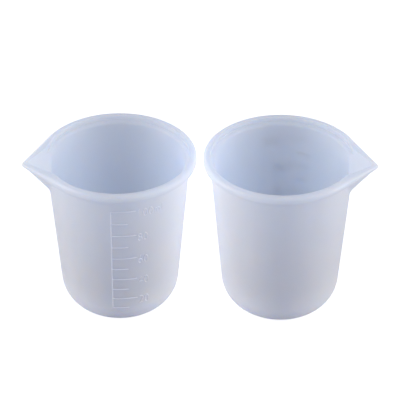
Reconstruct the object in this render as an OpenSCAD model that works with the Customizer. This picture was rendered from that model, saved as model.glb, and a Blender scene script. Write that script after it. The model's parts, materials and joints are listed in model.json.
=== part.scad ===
// Pair of flexible measuring cups for mixing and pouring casting resin.
// Each cup is one thin-walled moulding with a thickened rim, a vee spout
// and a raised scale. Both cups come from one mould: the second stands
// beside the first with its spout turned the other way.
// Millimetres, +Z up, base on z = 0, front towards -Y.

/* [Cup] */
// Outer radius of the round rim
rim_r = 31; // [20:0.5:60]
// Height from the base to the top of the rim
cup_h = 69.6; // [40:0.2:120]
// Radius the outer wall line would have at the base
base_r = 22.5; // [12:0.1:50]
// Radius of the outer wall line at the height of the rim
wall_top_r = 28.6; // [18:0.1:58]
// Outer radius of the rounded bottom corner
corner_r = 13.5; // [3:0.1:20]
// Wall thickness
wall = 1.8; // [1:0.1:4]
// Floor thickness
floor_t = 2; // [1:0.1:5]

/* [Rim] */
// Height of the outer face of the rim
rim_face_h = 3; // [1.5:0.1:5]
// Thickness of the rim
rim_w = 2.8; // [2:0.1:6]
// Rounding of the rim's outer top edge
rim_round = 1.4; // [0.4:0.1:1.9]
// Rounding of the rim's inner top edge
rim_edge = 0.4; // [0.2:0.1:1]
// Height of the cove under the rim, outside
flare_h = 2.6; // [1:0.1:8]
// Depth of the step inside the rim
lip_h = 1.8; // [1:0.1:4]
// Height of the rounded shoulder below that step
shoulder_h = 1.6; // [0.6:0.1:6]

/* [Spout] */
// Distance from the cup axis to the spout tip
tip_x = 38.1; // [32:0.1:80]
// Radius of the spout tip seen from above
tip_r = 1.3; // [0.8:0.1:3]
// Height of the face at the very tip
tip_face_h = 1.4; // [0.8:0.1:3]
// Thickness of the lip at the tip
lip_t = 2.1; // [1.5:0.1:4]
// How far below the rim the spout keel meets the wall
keel_drop = 13.8; // [5:0.1:30]
// Half width of the channel where it opens from the cup
throat_w = 9.1; // [4:0.1:16]
// How far each spout is turned towards the front
spout_turn = 10.5; // [0:0.5:45]

/* [Scale] */
// Volume at the top line, in millilitres
top_volume = 100; // [40:20:100]
// Volume between neighbouring lines, in millilitres
step_volume = 10; // [10:10:20]
// Height of the lowest line
low_line_z = 11.6; // [8:0.1:16]
// Rise from the lowest line to the next one
first_rise = 4.7; // [3:0.1:5]
// How much longer each rise is than the one below it
rise_growth = 0.18; // [0:0.01:0.2]
// Direction that the scale faces, measured from the spout
scale_turn = 80; // [60:1:120]
// Sideways place of the upright line
upright_u = -2.6; // [-6:0.1:0]
// Height of the raised marks above the wall
mark_h = 0.25; // [0.2:0.05:1]
// Width of a raised line
line_w = 0.5; // [0.3:0.05:1.5]
// Length of a long line
long_line = 9.8; // [7:0.1:12]
// Length of a short line
short_line = 6.5; // [2:0.1:9]
// Height of a numeral
digit_h = 3.4; // [2:0.1:3.8]

/* [Pair] */
// Distance between the axes of the two cups
spacing = 64.6; // [62:0.2:120]
// How far the right cup stands in front of the left one
stagger = 1.2; // [-10:0.1:10]

/* [Hidden] */
silicone = [0.78, 0.83, 0.92];
silicone_mark = [0.84, 0.88, 0.95];
arc_n = 10;
slope = (wall_top_r - base_r) / cup_h;
slope_n = sqrt(1 + slope * slope);
slope_deg = atan(slope);
inner_r0 = base_r - wall * slope_n;
inner_corner = corner_r - wall;
flare_out_z = cup_h - rim_face_h - flare_h;
shoulder_z = cup_h - lip_h - shoulder_h;
rim_in_r = rim_r - rim_w;
join_r = rim_r - 0.15;
edge_turn = acos((join_r - tip_r) / (tip_x - tip_r));
join_x = join_r * cos(edge_turn);
lip_edge = 0.8;
keel_r = 2.2;
channel_apex = tip_x - lip_t;
throat_x = sqrt(rim_in_r * rim_in_r - throat_w * throat_w);
throat_len = channel_apex - throat_x;
skin_apex = channel_apex + wall / sin(atan(throat_w / throat_len));
skin_sink = 0.7;
keel_fall = (keel_drop - skin_sink) / (skin_apex - base_r - slope * (cup_h - keel_drop));
above = 2;
mark_in = 0.3;
label_gap = 0.6;
label_drop = 1.2;
stroke = 0.36;
digit_w = digit_h * 0.46;
digit_pitch = digit_h * 0.64;

// Outer and inner wall line at a height
function wall_r(z) = base_r + slope * z;
function inner_r(z) = inner_r0 + slope * z;

// Centre of a rounded corner tangent to a floor at z0 and to a wall line
function corner_x(r0, z0, rc) = r0 + slope * (z0 + rc) - rc * slope_n;

// Radius of the outside, rounded corner included, at a height
function outside_r(z) =
    let (d = corner_r - z)
    d > corner_r * slope / slope_n
        ? corner_x(base_r, 0, corner_r) + sqrt(corner_r * corner_r - d * d)
        : wall_r(z);

// Height of the line for a volume: each rise is a little longer than the last
function level(ml) =
    let (n = ml / step_volume - 1)
    low_line_z + n * first_rise + rise_growth * n * (n - 1) / 2;

// Direction in which the wall has a sideways place u, seen square on to the scale
function turn_at(u, z) = scale_turn + asin(u / outside_r(z));

// Points of an arc about a centre
function arc(cx, cz, r, a0, a1, n) =
    [for (i = [0:n]) let (a = a0 + (a1 - a0) * i / n) [cx + r * cos(a), cz + r * sin(a)]];

// Outer surface as a closed section: base, corner, wall, cove and rim
module outer_section() {
    x0 = wall_r(flare_out_z);
    polygon(concat(
        [[0, 0]],
        arc(corner_x(base_r, 0, corner_r), corner_r, corner_r, -90, -slope_deg, arc_n),
        [for (i = [0:arc_n]) let (t = 90 * i / arc_n)
            [x0 + (rim_r - x0) * (1 - cos(t)), flare_out_z + flare_h * sin(t)]],
        arc(rim_r - rim_round, cup_h - rim_round, rim_round, 0, 90, 6),
        [[0, cup_h]]));
}

// Inside of the cup as a closed section, open above the rim
module inner_section() {
    x1 = inner_r(shoulder_z);
    polygon(concat(
        [[0, floor_t]],
        arc(corner_x(inner_r0, floor_t, inner_corner), floor_t + inner_corner, inner_corner,
            -90, -slope_deg, arc_n),
        [for (i = [0:arc_n]) let (t = 90 * i / arc_n)
            [x1 + (rim_in_r - x1) * (1 - cos(t)), shoulder_z + shoulder_h * sin(t)]],
        [[rim_in_r, cup_h - rim_edge]],
        [for (i = [1:4]) let (t = 90 * i / 4)
            [rim_in_r + rim_edge * (1 - cos(t)), cup_h - rim_edge + rim_edge * sin(t)]],
        [[rim_in_r + rim_edge, cup_h + above], [0, cup_h + above]]));
}

// Outline of the spout rim seen from above, drawn in by a distance:
// two straight edges from the round rim to an arc at the tip
function spout_outline(inset) = concat(
    [(join_r - inset) * [cos(edge_turn), -sin(edge_turn)]],
    arc(tip_x - tip_r, 0, tip_r - inset, -edge_turn, edge_turn, 8),
    [(join_r - inset) * [cos(edge_turn), sin(edge_turn)]]);

// Underside of the spout rim, rising towards the tip
function spout_under(x) =
    cup_h - rim_face_h + (rim_face_h - tip_face_h) * (x - join_x) / (tip_x - join_x);

// Rim of the spout: flat on top with softened edges, thin at the tip
module spout_rim() {
    edge = spout_outline(0);
    top = spout_outline(lip_edge);
    n = len(edge);
    polyhedron(
        points = concat(
            [for (p = edge) [p[0], p[1], spout_under(p[0])]],
            [for (p = edge) [p[0], p[1], cup_h - lip_edge]],
            [for (p = top) [p[0], p[1], cup_h]]),
        faces = concat(
            [[for (i = [0:n - 1]) i]],
            [for (k = [0:1], i = [0:n - 1]) let (j = (i + 1) % n)
                [k * n + j, k * n + i, k * n + n + i, k * n + n + j]],
            [[for (i = [n - 1:-1:0]) 2 * n + i]]));
}

// Vee section: open at the top, straight sides, rounded keel.
// w and d are the half width and the depth of the sharp vee.
module vee(w, d, r, top) {
    lean = atan(w / d);
    polygon(concat(
        [[-w * (1 + top / d), top]],
        arc(0, r / sin(lean) - d, r, 180 + lean, 360 - lean, 8),
        [[w * (1 + top / d), top]]));
}

// Vee that shrinks towards a point xa beyond the spout tip
module taper(x0, x1, xa, w, d, r, z, top) {
    translate([x0, 0, z])
        rotate([90, 0, 90])
            linear_extrude(x1 - x0, scale = (xa - x1) / (xa - x0))
                vee(w, d, r, top);
}

// Outer skin of the vee channel, from the tip down the keel to the wall
module spout_skin() {
    x0 = wall_r(cup_h - keel_drop) - wall / 2;
    w = (skin_apex - x0) * throat_w / throat_len;
    d = (skin_apex - x0) * keel_fall + keel_r;
    taper(x0, tip_x - tip_r / 2, skin_apex, w, d, keel_r, cup_h - skin_sink, 0);
}

// Space inside the vee channel, cut through the rim
module spout_channel() {
    x0 = throat_x - 3;
    w = (channel_apex - x0) * throat_w / throat_len;
    d = (channel_apex - x0) * keel_fall;
    taper(x0, channel_apex - tip_r / 2, channel_apex, w, d, keel_r - wall / 2, cup_h, above);
}

module cup() {
    difference() {
        union() {
            rotate_extrude($fn = 96)
                outer_section();
            spout_rim();
            spout_skin();
        }
        rotate_extrude($fn = 96)
            inner_section();
        spout_channel();
    }
}

// Places flat artwork on the wall: x runs around, y runs up the wall
module on_wall(turn, z) {
    rotate([0, 0, turn])
        translate([outside_r(z), 0, z])
            rotate([0, slope_deg, 0])
                translate([-mark_in, 0, 0])
                    rotate([90, 0, 90])
                        linear_extrude(mark_in + mark_h)
                            children();
}

// Curved raised line that runs round the wall from the upright line
module level_line(z, len) {
    start = turn_at(upright_u, z);
    rotate([0, 0, start])
        rotate_extrude(angle = turn_at(upright_u + len, z) - start, $fn = 96)
            polygon([
                [outside_r(z) - mark_in, z - line_w / 2],
                [outside_r(z) + mark_h, z - line_w / 2],
                [outside_r(z) + mark_h, z + line_w / 2],
                [outside_r(z) - mark_in, z + line_w / 2]]);
}

// Upright raised line: a flat slice that follows the wall and the corner
module upright_line(z0, z1) {
    n = 8;
    zs = [for (i = [0:n]) z0 + (z1 - z0) * i / n];
    function depth(z) = sqrt(pow(outside_r(z), 2) - upright_u * upright_u);
    rotate([0, 0, scale_turn])
        translate([0, upright_u + line_w / 2, 0])
            rotate([90, 0, 0])
                linear_extrude(line_w)
                    polygon(concat(
                        [for (z = zs) [depth(z) + mark_h, z]],
                        [for (i = [n:-1:0]) [depth(zs[i]) - mark_in, zs[i]]]));
}

// Open stroke through a list of points
module path(p) {
    for (i = [0:len(p) - 2]) {
        d = p[i + 1] - p[i];
        translate(p[i])
            rotate(atan2(d[1], d[0]))
                translate([0, -stroke / 2])
                    square([norm(d), stroke]);
    }
    for (q = p)
        translate(q)
            circle(d = stroke, $fn = 8);
}

// Closed round stroke, or part of one
function bow(cx, cy, rx, ry, a0, a1, n) =
    [for (i = [0:n]) let (a = a0 + (a1 - a0) * i / n) [cx + rx * cos(a), cy + ry * sin(a)]];

// Strokes of one sign in a box digit_w wide and digit_h high
module sign(c) {
    w = digit_w;
    h = digit_h;
    if (c == "0")
        path(bow(w / 2, h / 2, w / 2, h / 2, 0, 360, 14));
    if (c == "1")
        path([[w * 0.2, h * 0.8], [w * 0.55, h], [w * 0.55, 0]]);
    if (c == "2")
        path(concat(bow(w / 2, h * 0.72, w / 2, h * 0.28, 170, -30, 7), [[0, 0], [w, 0]]));
    if (c == "4")
        path([[w * 0.72, 0], [w * 0.72, h], [0, h * 0.32], [w * 1.05, h * 0.32]]);
    if (c == "6") {
        path(bow(w / 2, h * 0.29, w / 2, h * 0.29, 0, 360, 12));
        path(bow(w * 0.7, h * 0.36, w * 0.7, h * 0.64, 180, 90, 5));
    }
    if (c == "8") {
        path(bow(w / 2, h * 0.27, w / 2, h * 0.27, 0, 360, 12));
        path(bow(w / 2, h * 0.77, w * 0.42, h * 0.23, 0, 360, 12));
    }
    if (c == "m") {
        path([[0, 0], [0, h * 0.62]]);
        path(concat(bow(w * 0.35, h * 0.42, w * 0.35, h * 0.2, 170, 0, 4), [[w * 0.7, 0]]));
        path(concat(bow(w * 1.05, h * 0.42, w * 0.35, h * 0.2, 180, 0, 4), [[w * 1.4, 0]]));
    }
    if (c == "l")
        path([[w * 0.55, 0], [w * 0.55, h]]);
}

// Row of signs beside a long line, a little below it
module label(signs, z) {
    for (i = [0:len(signs) - 1]) {
        u = upright_u + long_line + label_gap + i * digit_pitch + digit_w / 2;
        on_wall(turn_at(u, z), z)
            translate([-digit_w / 2, -digit_h / 2])
                sign(signs[i]);
    }
}

// Digits of a whole number of tens
function digits(v) = v >= 100 ? [str(floor(v / 100)), str(floor(v / 10) % 10), "0"] : [str(v / 10), "0"];

module scale_marks() {
    for (v = [step_volume:step_volume:top_volume]) {
        named = v % 20 == 0;
        level_line(level(v), named ? long_line : short_line);
        if (named)
            label(v == top_volume ? concat(digits(v), ["m", "l"]) : digits(v), level(v) - label_drop);
    }
    upright_line(level(step_volume) - line_w / 2, level(top_volume) + line_w / 2);
}

module place_left() {
    translate([-spacing / 2, stagger / 2, 0])
        rotate([0, 0, 180 + spout_turn])
            children();
}

module place_right() {
    translate([spacing / 2, -stagger / 2, 0])
        rotate([0, 0, -spout_turn])
            children();
}

module left_cup() {
    color(silicone)
        place_left()
            cup();
}

module left_scale() {
    color(silicone_mark)
        place_left()
            scale_marks();
}

module right_cup() {
    color(silicone)
        place_right()
            cup();
}

module right_scale() {
    color(silicone_mark)
        place_right()
            scale_marks();
}

left_cup();
left_scale();
right_cup();
right_scale();
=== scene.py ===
"""Two translucent silicone measuring cups standing side by side on a plain pale floor."""
import json
import math

import bpy
import numpy as np
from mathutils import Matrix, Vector


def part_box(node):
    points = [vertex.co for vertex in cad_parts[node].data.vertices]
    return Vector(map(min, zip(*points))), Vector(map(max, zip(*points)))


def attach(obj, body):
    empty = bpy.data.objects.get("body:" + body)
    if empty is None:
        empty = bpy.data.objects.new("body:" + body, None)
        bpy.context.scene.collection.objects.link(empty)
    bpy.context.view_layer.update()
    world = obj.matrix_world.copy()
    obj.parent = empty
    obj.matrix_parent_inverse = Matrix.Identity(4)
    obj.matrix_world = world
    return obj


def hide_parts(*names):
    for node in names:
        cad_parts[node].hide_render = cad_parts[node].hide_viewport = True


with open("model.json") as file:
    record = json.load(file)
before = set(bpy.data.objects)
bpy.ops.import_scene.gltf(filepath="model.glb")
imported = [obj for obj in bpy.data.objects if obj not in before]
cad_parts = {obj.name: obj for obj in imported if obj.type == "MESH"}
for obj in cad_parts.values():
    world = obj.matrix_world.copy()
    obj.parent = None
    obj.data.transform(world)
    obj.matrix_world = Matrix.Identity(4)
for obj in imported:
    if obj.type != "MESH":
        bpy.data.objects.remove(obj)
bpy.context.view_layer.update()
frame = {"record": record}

# ---------------------------------------------------------------- sizes, in millimetres
MM = 0.001
cup_low, cup_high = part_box("left_cup")
CUP_H = cup_high.z / MM
RIM_R = (cup_high.y - cup_low.y) / 2 / MM
BASE_R = 22.5  # wall line at the base
WALL_TOP_R = 28.6  # wall line at the rim
CORNER_R = 13.5
WALL = 1.8
FLOOR_T = 2.0
RIM_W = 2.8  # thickness of the rim
RIM_FACE = 3.0  # outer face of the rim
COVE = 2.6  # height of the cove under the rim
RIM_ROUND = 1.4  # outer top edge of the rim
TIP_ROUND = 0.8  # the same edge at the spout's tip
EDGE = 0.4  # inner top edge of the rim
UNDER_EDGE = 0.4  # lower edge of the rim's outer face
STEP = 1.8  # depth of the step inside the rim
SHOULDER = 1.6  # height of the rounded shoulder below the step
TIP_X = 38.1  # spout tip from the cup axis
TIP_R = 1.3  # spout tip seen from above
TIP_FACE = 1.4  # outer face at the spout's tip
LIP_T = 2.1  # lip at the tip
KEEL_DROP = 13.8  # where the keel meets the wall, below the rim
KEEL_INSET = 0.8  # how far inside the tip the keel starts
THROAT_W = 9.1  # half width of the channel where it leaves the cup
SKIN_BLEND, INSIDE_BLEND = 1.2, 0.7  # rounding of the join of spout and wall, outside and inside
KEEL_SOFT, CHANNEL_SOFT = 0.045, 0.03  # rounding of the vee's point, outside and inside
SPOUT_TURN = 10.5  # degrees that each spout is turned towards the front
SCALE_TURN = 80.0  # direction that the scale faces, degrees from the spout
TOP_ML, STEP_ML, LABEL_ML = 100, 10, 20  # top line, one line to the next, one label to the next
LOW_LINE_Z = 11.6  # lowest line of the scale
FIRST_RISE, RISE_GROWTH = 4.7, 0.18  # rise to the next line, and how much each later one grows
UPRIGHT_U = -2.6  # sideways place of the upright line
LONG_LINE, SHORT_LINE = 9.8, 6.5
LINE_HALF, UPRIGHT_HALF, STROKE_HALF = 0.2, 0.15, 0.17  # half widths: lines, upright line, numerals
LABEL_GAP, LABEL_DROP = 0.6, 1.2  # from a long line's end to its label, sideways and down
DIGIT_H = 3.4
DIGIT_W, DIGIT_PITCH = DIGIT_H * 0.46, DIGIT_H * 0.64

SLOPE = (WALL_TOP_R - BASE_R) / CUP_H
SLOPE_N = math.hypot(1, SLOPE)
SLOPE_A = math.atan(SLOPE)
IN_R0 = BASE_R - WALL * SLOPE_N
IN_CORNER = CORNER_R - WALL
RIM_IN = RIM_R - RIM_W
EDGE_TURN = math.acos((RIM_R - TIP_R) / (TIP_X - TIP_R))  # where the spout leaves the round rim
CHANNEL_X = TIP_X - LIP_T
CHANNEL_TAN = THROAT_W / (CHANNEL_X - math.sqrt(RIM_IN**2 - THROAT_W**2))
KEEL_FOOT_X = BASE_R + SLOPE * (CUP_H - KEEL_DROP)
KEEL_STEEP = (KEEL_DROP - TIP_FACE) / (TIP_X - KEEL_INSET - KEEL_FOOT_X)
QUARTER = math.pi / 2


# ---------------------------------------------------------------- cup surface
def smooth_max(a, b, k):
    """The larger of two lengths, with the join rounded over about k."""
    near = np.clip(1 - np.abs(a - b) / k, 0, None)
    return np.maximum(a, b) + near**2 * k / 4


def vee(turn, apex, tan_half, soft):
    """Distance from the axis to a vee whose point is at apex, with a softened point."""
    turn = np.minimum(np.abs(turn), QUARTER - math.atan(tan_half))
    side = np.sqrt(np.sin(turn) ** 2 + soft**2) - soft
    return apex / (np.cos(turn) + side / tan_half)


def rim_outline(turn):
    """Outer edge of the rim: round, with two tangent edges that run to a rounded tip."""
    turn = np.abs(turn)
    centre = TIP_X - TIP_R
    edge = RIM_R / np.cos(np.minimum(turn - EDGE_TURN, 0))
    tip = centre * np.cos(turn) + np.sqrt(np.maximum(TIP_R**2 - (centre * np.sin(turn)) ** 2, 0))
    touch = math.atan2(TIP_R * math.sin(EDGE_TURN), centre + TIP_R * math.cos(EDGE_TURN))
    return np.where(turn < touch, tip, edge)


def skin_r(turn, z):
    """Outer radius of the wall and of the spout's outer skin, below the rim."""
    apex = TIP_X - KEEL_INSET - (CUP_H - TIP_FACE - z) / KEEL_STEEP
    return smooth_max(BASE_R + SLOPE * z, vee(turn, apex, CHANNEL_TAN, KEEL_SOFT), SKIN_BLEND)


def inside_r(turn, z):
    """Inner radius of the wall, with its stepped rim, and of the spout channel."""
    low = CUP_H - STEP - SHOULDER
    lift = np.clip((z - low) / SHOULDER, 0, 1)
    narrow = IN_R0 + SLOPE * low
    wall = np.where(lift > 0, narrow + (RIM_IN - narrow) * (1 - np.sqrt(1 - lift**2)), IN_R0 + SLOPE * z)
    apex = CHANNEL_X - (CUP_H - z) / KEEL_STEEP
    return smooth_max(wall, vee(turn, apex, CHANNEL_TAN, CHANNEL_SOFT), INSIDE_BLEND)


def corner_x(r0, z0, rc):
    """Centre of a rounded corner tangent to a floor at z0 and to a wall line."""
    return r0 + SLOPE * (z0 + rc) - rc * SLOPE_N


def bottom_rows(turn, r0, z0, rc):
    """Rows of points from the middle of a floor, round its corner, up to the wall."""
    cx, one = corner_x(r0, z0, rc), np.ones_like(turn)
    rows = [(one * cx * f, one * z0) for f in (0.25, 0.5, 0.75, 0.92)]
    for a in np.linspace(-QUARTER, -SLOPE_A, 17):
        rows.append((one * (cx + rc * math.cos(a)), one * (z0 + rc + rc * math.sin(a))))
    return rows


def arc_rows(cr, cz, radius, a0, a1, n):
    """Rows round an edge: part of a circle about each column's own centre."""
    return [(cr + radius * math.cos(a), cz + radius * math.sin(a)) for a in np.linspace(a0, a1, n)]


def climb_rows(surface, turn, z0, z1, n):
    """Rows on a surface from one height to another, the first height left out."""
    heights = [z0 + (z1 - z0) * f + 0 * turn for f in np.linspace(0, 1, n)[1:]]
    return [(surface(turn, z), z) for z in heights]


def cup_rows(turn):
    """All rows of the closed shell, from the middle of the base to the middle of the floor."""
    outline = rim_outline(turn)
    out = np.clip((outline - RIM_R) / (TIP_X - RIM_R), 0, 1)
    face_z = CUP_H - RIM_FACE + (RIM_FACE - TIP_FACE) * out
    cove_z = face_z - COVE * (1 - out) - 0.3
    spout_z = CUP_H - KEEL_DROP - 4
    step_z = CUP_H - STEP
    low = step_z - SHOULDER
    top = CUP_H - EDGE

    rows = bottom_rows(turn, BASE_R, 0, CORNER_R)
    rows += climb_rows(skin_r, turn, rows[-1][1], spout_z, 16)
    rows += climb_rows(skin_r, turn, spout_z, cove_z, 20)
    reach = outline - UNDER_EDGE - skin_r(turn, face_z)
    for f in np.linspace(0, 1, 10)[1:]:
        z = cove_z + (face_z - cove_z) * math.sin(f * QUARTER)
        rows.append((skin_r(turn, z) + reach * (1 - math.cos(f * QUARTER)), z))

    rows += arc_rows(outline - UNDER_EDGE, face_z + UNDER_EDGE, UNDER_EDGE, -math.pi / 3, 0, 4)
    edge = RIM_ROUND + (TIP_ROUND - RIM_ROUND) * out
    rows += arc_rows(outline - edge, CUP_H - edge, edge, 0, QUARTER, 10)
    inner = inside_r(turn, top)
    for f in (0.25, 0.5, 0.75):
        rows.append(((outline - edge) * (1 - f) + (inner + EDGE) * f, CUP_H + 0 * turn))
    rows += arc_rows(inner + EDGE, top, EDGE, QUARTER, math.pi, 6)

    rows += climb_rows(inside_r, turn, top, step_z, 6)
    for f in np.linspace(0, 1, 12)[1:]:
        z = low + SHOULDER * math.cos(f * QUARTER) + 0 * turn
        rows.append((inside_r(turn, z), z))
    rows += climb_rows(inside_r, turn, low, spout_z, 20)
    floor_rows = bottom_rows(turn, IN_R0, FLOOR_T, IN_CORNER)[::-1]
    rows += climb_rows(inside_r, turn, spout_z, floor_rows[0][1], 16)[:-1]
    return rows + floor_rows


def column_turns(n):
    """Directions of the columns, closer together where the spout is."""
    u = np.linspace(-1, 1, n, endpoint=False)
    dense = 1 / (0.05 + 0.95 * np.clip(np.abs(u) / 0.6, 0, 1) ** 1.3)
    steps = 1 / dense
    sums = np.concatenate([[0], np.cumsum((steps + np.roll(steps, -1)) / 2)])
    return (sums[:-1] / sums[-1] * 2 - 1) * math.pi


def new_object(name, verts, faces):
    mesh = bpy.data.meshes.new(name)
    mesh.from_pydata([tuple(v) for v in verts], [], faces)
    mesh.polygons.foreach_set("use_smooth", [True] * len(mesh.polygons))
    mesh.update()
    obj = bpy.data.objects.new(name, mesh)
    bpy.context.scene.collection.objects.link(obj)
    return obj


def cup_shell(name, axis, facing):
    """One closed thin-walled cup. axis is its place, facing its spout's direction in radians."""
    turn = column_turns(320)
    rows = cup_rows(turn)
    count, wide = len(rows), len(turn)
    grid = np.array([[r * np.cos(turn + facing), r * np.sin(turn + facing), z + 0 * turn] for r, z in rows])
    points = grid.transpose(0, 2, 1).reshape(-1, 3) * MM + np.array(axis)
    middles = np.array([[0, 0, 0], [0, 0, FLOOR_T]]) * MM + np.array(axis)
    verts = np.vstack([points, middles])
    faces = []
    for i in range(count - 1):
        for j in range(wide):
            k = (j + 1) % wide
            faces.append((i * wide + j, i * wide + k, (i + 1) * wide + k, (i + 1) * wide + j))
    base_middle, floor_middle, last = count * wide, count * wide + 1, (count - 1) * wide
    for j in range(wide):
        k = (j + 1) % wide
        faces.append((base_middle, k, j))
        faces.append((floor_middle, last + j, last + k))
    return new_object(name, verts, faces)


# ---------------------------------------------------------------- raised scale
def outside_r(z):
    """Outer radius of the wall and of the rounded corner below it."""
    d = CORNER_R - z
    if d > CORNER_R * SLOPE / SLOPE_N:
        return corner_x(BASE_R, 0, CORNER_R) + math.sqrt(max(0, CORNER_R**2 - d * d))
    return BASE_R + SLOPE * z


def level(ml):
    """Height of the line for a volume: each rise is a little longer than the last."""
    n = ml / STEP_ML - 1
    return LOW_LINE_Z + n * FIRST_RISE + RISE_GROWTH * n * (n - 1) / 2


def bow(cx, cy, rx, ry, a0, a1, n=14):
    """Points of part of an ellipse, angles in degrees."""
    angles = [math.radians(a0 + (a1 - a0) * i / n) for i in range(n + 1)]
    return [(cx + rx * math.cos(a), cy + ry * math.sin(a)) for a in angles]


def strokes(sign):
    """Strokes of one sign, each a list of points, in a box DIGIT_W wide and DIGIT_H high."""
    w, h = DIGIT_W, DIGIT_H
    return {
        "0": [bow(w / 2, h / 2, w / 2, h / 2, 0, 360, 24)],
        "1": [[(w * 0.2, h * 0.8), (w * 0.55, h), (w * 0.55, 0)]],
        "2": [bow(w / 2, h * 0.72, w / 2, h * 0.28, 170, -30) + [(0, 0), (w, 0)]],
        "4": [[(w * 0.72, 0), (w * 0.72, h), (0, h * 0.32), (w * 1.05, h * 0.32)]],
        "6": [
            bow(w / 2, h * 0.29, w / 2, h * 0.29, 0, 360, 20),
            bow(w * 0.7, h * 0.36, w * 0.7, h * 0.64, 180, 90, 8),
        ],
        "8": [
            bow(w / 2, h * 0.27, w / 2, h * 0.27, 0, 360, 20),
            bow(w / 2, h * 0.77, w * 0.42, h * 0.23, 0, 360, 20),
        ],
        "m": [
            [(0, 0), (0, h * 0.62)],
            bow(w * 0.35, h * 0.42, w * 0.35, h * 0.2, 170, 0, 8) + [(w * 0.7, 0)],
            bow(w * 1.05, h * 0.42, w * 0.35, h * 0.2, 180, 0, 8) + [(w * 1.4, 0)],
        ],
        "l": [[(w * 0.55, 0), (w * 0.55, h)]],
    }[sign]


def scale_paths():
    """Every raised line as points (sideways place, height), and its half width."""
    low, high = level(STEP_ML), level(TOP_ML)
    paths = [([(UPRIGHT_U, low + (high - low) * i / 60) for i in range(61)], UPRIGHT_HALF)]
    for ml in range(STEP_ML, TOP_ML + 1, STEP_ML):
        z = level(ml)
        named = ml % LABEL_ML == 0
        reach = LONG_LINE if named else SHORT_LINE
        paths.append(([(UPRIGHT_U + reach * i / 24, z) for i in range(25)], LINE_HALF))
        if not named:
            continue
        text = str(ml) + ("ml" if ml == TOP_ML else "")
        for i, sign in enumerate(text):
            middle = UPRIGHT_U + LONG_LINE + LABEL_GAP + i * DIGIT_PITCH + DIGIT_W / 2
            lean = math.sqrt(1 - (middle / outside_r(z)) ** 2)
            foot = z - LABEL_DROP - DIGIT_H / 2
            for stroke in strokes(sign):
                points = [(middle + (x - DIGIT_W / 2) * lean, foot + y) for x, y in stroke]
                paths.append((points, STROKE_HALF))
    return paths


def scale_ridges(name, axis, facing):
    """All the raised lines and numerals of one cup, as rounded ridges that follow its wall."""
    curve = bpy.data.curves.new(name + "_curve", "CURVE")
    curve.dimensions = "3D"
    curve.bevel_depth = MM
    curve.bevel_resolution = 3
    curve.use_fill_caps = True
    start = facing + math.radians(SCALE_TURN)
    for path, half in scale_paths():
        spline = curve.splines.new("POLY")
        spline.points.add(len(path) - 1)
        for i, (sideways, z) in enumerate(path):
            r = outside_r(z)
            a = start + math.asin(sideways / r)
            place = Vector((r * math.cos(a), r * math.sin(a), z)) * MM + Vector(axis)
            spline.points[i].co = (*place, 1)
            spline.points[i].radius = half * (0.55 if i in (0, len(path) - 1) else 1)
    holder = bpy.data.objects.new(name, curve)
    bpy.context.scene.collection.objects.link(holder)
    mesh = bpy.data.meshes.new_from_object(holder.evaluated_get(bpy.context.evaluated_depsgraph_get()))
    bpy.data.objects.remove(holder)
    mesh.name = name
    mesh.polygons.foreach_set("use_smooth", [True] * len(mesh.polygons))
    obj = bpy.data.objects.new(name, mesh)
    obj.visible_shadow = False  # light goes through such thin ridges into the wall
    bpy.context.scene.collection.objects.link(obj)
    return obj


# ---------------------------------------------------------------- materials
def node(tree, kind, **sockets):
    """A new node with some of its sockets set."""
    new = tree.nodes.new(kind)
    for key, value in sockets.items():
        new.inputs[key.replace("_", " ")].default_value = value
    return new


def silicone(name, light, dark, subsurface):
    """Milky translucent silicone: faint cloudiness in the colour, a fine satin skin.

    Near the base the colour is painted less blue, for the warmer light there, and light goes less deep, so
    that the cup's floor isn't dark.
    """
    material = bpy.data.materials.new(name)
    material.use_nodes = True
    tree = material.node_tree
    link = tree.links.new
    shader = tree.nodes["Principled BSDF"]
    where = tree.nodes.new("ShaderNodeTexCoord")
    cloud = node(tree, "ShaderNodeTexNoise", Scale=55.0, Detail=4.0, Roughness=0.55)
    grain = node(tree, "ShaderNodeTexNoise", Scale=1400.0, Detail=3.0, Roughness=0.6)
    for texture in (cloud, grain):
        link(where.outputs["Object"], texture.inputs["Vector"])
    ramp = tree.nodes.new("ShaderNodeValToRGB")
    ramp.color_ramp.elements[0].position = 0.3
    ramp.color_ramp.elements[0].color = (*dark, 1)
    ramp.color_ramp.elements[1].position = 0.7
    ramp.color_ramp.elements[1].color = (*light, 1)
    link(cloud.outputs["Fac"], ramp.inputs["Fac"])
    height = tree.nodes.new("ShaderNodeSeparateXYZ")
    link(where.outputs["Object"], height.inputs["Vector"])
    above_base = node(tree, "ShaderNodeMapRange", From_Min=0.002, From_Max=0.02, To_Min=0.0, To_Max=1.0)
    link(height.outputs["Z"], above_base.inputs["Value"])
    # painted light: towards the base the colour fades to this less blue grey, standing in for the warmer
    # light near the floor
    tint = node(tree, "ShaderNodeMixRGB", Color1=(0.82, 0.82, 0.87, 1))
    link(above_base.outputs["Result"], tint.inputs["Fac"])
    link(ramp.outputs["Color"], tint.inputs["Color2"])
    link(tint.outputs["Color"], shader.inputs["Base Color"])
    rough = node(tree, "ShaderNodeMapRange", To_Min=0.34, To_Max=0.5)
    link(grain.outputs["Fac"], rough.inputs["Value"])
    link(rough.outputs["Result"], shader.inputs["Roughness"])
    bump = node(tree, "ShaderNodeBump", Strength=0.08, Distance=0.00008)
    link(grain.outputs["Fac"], bump.inputs["Height"])
    link(bump.outputs["Normal"], shader.inputs["Normal"])
    shader.inputs["IOR"].default_value = 1.41
    shader.inputs["Subsurface Weight"].default_value = subsurface
    shader.inputs["Subsurface Radius"].default_value = (0.7, 0.9, 1.3)
    shader.inputs["Subsurface Anisotropy"].default_value = 0.3
    depth = node(tree, "ShaderNodeMapRange", From_Min=0.003, From_Max=0.02, To_Min=0.002, To_Max=0.012)
    link(height.outputs["Z"], depth.inputs["Value"])
    link(depth.outputs["Result"], shader.inputs["Subsurface Scale"])
    return material


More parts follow.
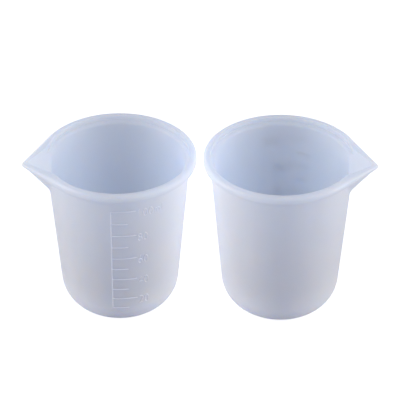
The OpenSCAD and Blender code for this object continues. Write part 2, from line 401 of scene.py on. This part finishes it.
def floor_material():
    """Plain pale floor with a barely visible mottling."""
    material = bpy.data.materials.new("floor")
    material.use_nodes = True
    tree = material.node_tree
    shader = tree.nodes["Principled BSDF"]
    noise = node(tree, "ShaderNodeTexNoise", Scale=6.0, Detail=3.0)
    ramp = tree.nodes.new("ShaderNodeValToRGB")
    ramp.color_ramp.elements[0].color = (0.70, 0.70, 0.71, 1)
    ramp.color_ramp.elements[1].color = (0.72, 0.72, 0.73, 1)
    tree.links.new(noise.outputs["Fac"], ramp.inputs["Fac"])
    tree.links.new(ramp.outputs["Color"], shader.inputs["Base Color"])
    shader.inputs["Roughness"].default_value = 0.9
    shader.inputs["Specular IOR Level"].default_value = 0.1
    shader.inputs["Emission Color"].default_value = (1, 1, 1, 1)
    seen = tree.nodes.new("ShaderNodeLightPath")
    glow = tree.nodes.new("ShaderNodeMath")
    glow.operation = "MULTIPLY"
    glow.inputs[1].default_value = 0.75
    tree.links.new(seen.outputs["Is Camera Ray"], glow.inputs[0])
    tree.links.new(glow.outputs["Value"], shader.inputs["Emission Strength"])
    return material


# ---------------------------------------------------------------- pieces
SIDES = {"left": math.radians(180 + SPOUT_TURN), "right": math.radians(-SPOUT_TURN)}
mounts = {m["name"]: m["pos_m"] for m in frame["record"]["mounts"]}
cup_silicone = silicone("silicone", (0.765, 0.812, 0.932), (0.745, 0.802, 0.926), 1.0)
# painted highlight: the marks are the cup's own silicone, painted lighter so that the raised lines read
# light against the wall
marks_painted_lighter = silicone("silicone_marks", (0.86, 0.88, 0.95), (0.83, 0.86, 0.94), 0.0)
made = {}
for side, facing in SIDES.items():
    axis = mounts[side + "_base"]
    shell = cup_shell(side + "_cup_shell", axis, facing)
    shell.data.materials.append(cup_silicone)
    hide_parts(side + "_cup")
    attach(shell, side)
    ridges = scale_ridges(side + "_scale_ridges", axis, facing)
    ridges.data.materials.clear()
    ridges.data.materials.append(marks_painted_lighter)
    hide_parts(side + "_scale")
    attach(ridges, side)
    made[side] = [shell, ridges]


# ---------------------------------------------------------------- floor, lights, camera
def floor_plane(half):
    """The plane that the cups stand on. half is half of its side."""
    corners = [(-half, -half, 0), (half, -half, 0), (half, half, 0), (-half, half, 0)]
    plane = new_object("floor", corners, [(0, 1, 2, 3)])
    plane.data.materials.append(floor_material())
    return plane


def softbox(name, place, target, size, power, tint, lit):
    """A rectangular lamp that lights, and is shaded by, only the pieces in lit."""
    lamp = bpy.data.lights.new(name, "AREA")
    lamp.shape = "RECTANGLE"
    lamp.size, lamp.size_y = size
    lamp.energy = power
    lamp.color = tint
    obj = bpy.data.objects.new(name, lamp)
    obj.location = place
    obj.rotation_euler = (Vector(target) - Vector(place)).to_track_quat("-Z", "Y").to_euler()
    bpy.context.scene.collection.objects.link(obj)
    group = bpy.data.collections.new(name)
    for piece in lit:
        group.objects.link(piece)
    obj.light_linking.receiver_collection = group
    obj.light_linking.blocker_collection = group


def soft_sky():
    """Even light from all round, a little cool; the camera itself sees plain white."""
    world = bpy.data.worlds.new("studio")
    world.use_nodes = True
    tree = world.node_tree
    lighting = tree.nodes["Background"]
    lighting.inputs["Color"].default_value = (0.79, 0.83, 1, 1)
    lighting.inputs["Strength"].default_value = 0.626
    backdrop = node(tree, "ShaderNodeBackground", Color=(1, 1, 1, 1), Strength=1.0)
    seen = tree.nodes.new("ShaderNodeLightPath")
    either = tree.nodes.new("ShaderNodeMixShader")
    tree.links.new(seen.outputs["Is Camera Ray"], either.inputs["Fac"])
    tree.links.new(lighting.outputs["Background"], either.inputs[1])
    tree.links.new(backdrop.outputs["Background"], either.inputs[2])
    tree.links.new(either.outputs["Shader"], tree.nodes["World Output"].inputs["Surface"])
    bpy.context.scene.world = world


def studio():
    """Each cup has its own high and low lamps on both sides, and the floor has one lamp overhead."""
    soft_sky()
    white, warm = (1.0, 1.0, 1.0), (1.0, 0.98, 0.98)
    for side, pieces in made.items():
        x = mounts[side + "_base"][0]
        aim = (x, 0, 0.035)
        for name, sign in (("left", -1), ("right", 1)):
            high = (x + sign * 0.7, -0.05, 0.5)
            low = (x + sign * 0.8, -0.1, 0.12)
            softbox(f"{side}_cup_from_{name}", high, aim, (0.5, 0.6), 0.9, white, pieces)
            softbox(f"{side}_cup_low_{name}", low, aim, (0.3, 0.22), 2.5, warm, pieces)
    softbox("floor_wash", (0, 0, 1.2), (0, 0, 0), (1.2, 1.2), 1.8, white, [floor])


def camera():
    """Long lens from the front, looking down; drop lowers the cups a little in the picture."""
    distance, pitch, drop = 1.0675, math.radians(34.5), math.radians(0.587)
    middle = Vector((0, 0, CUP_H * MM / 2))
    look = Vector((0, math.cos(pitch), -math.sin(pitch)))
    data = bpy.data.cameras.new("camera")
    data.sensor_width = 36
    data.lens = 239.7
    data.clip_start, data.clip_end = 0.05, 20
    obj = bpy.data.objects.new("camera", data)
    obj.location = middle - look * distance
    tilted = Vector((0, math.cos(pitch - drop), -math.sin(pitch - drop)))
    obj.rotation_euler = tilted.to_track_quat("-Z", "Y").to_euler()
    bpy.context.scene.collection.objects.link(obj)
    bpy.context.scene.camera = obj


floor = floor_plane(6.0)
studio()
camera()
bpy.context.scene.view_settings.view_transform = "Standard"
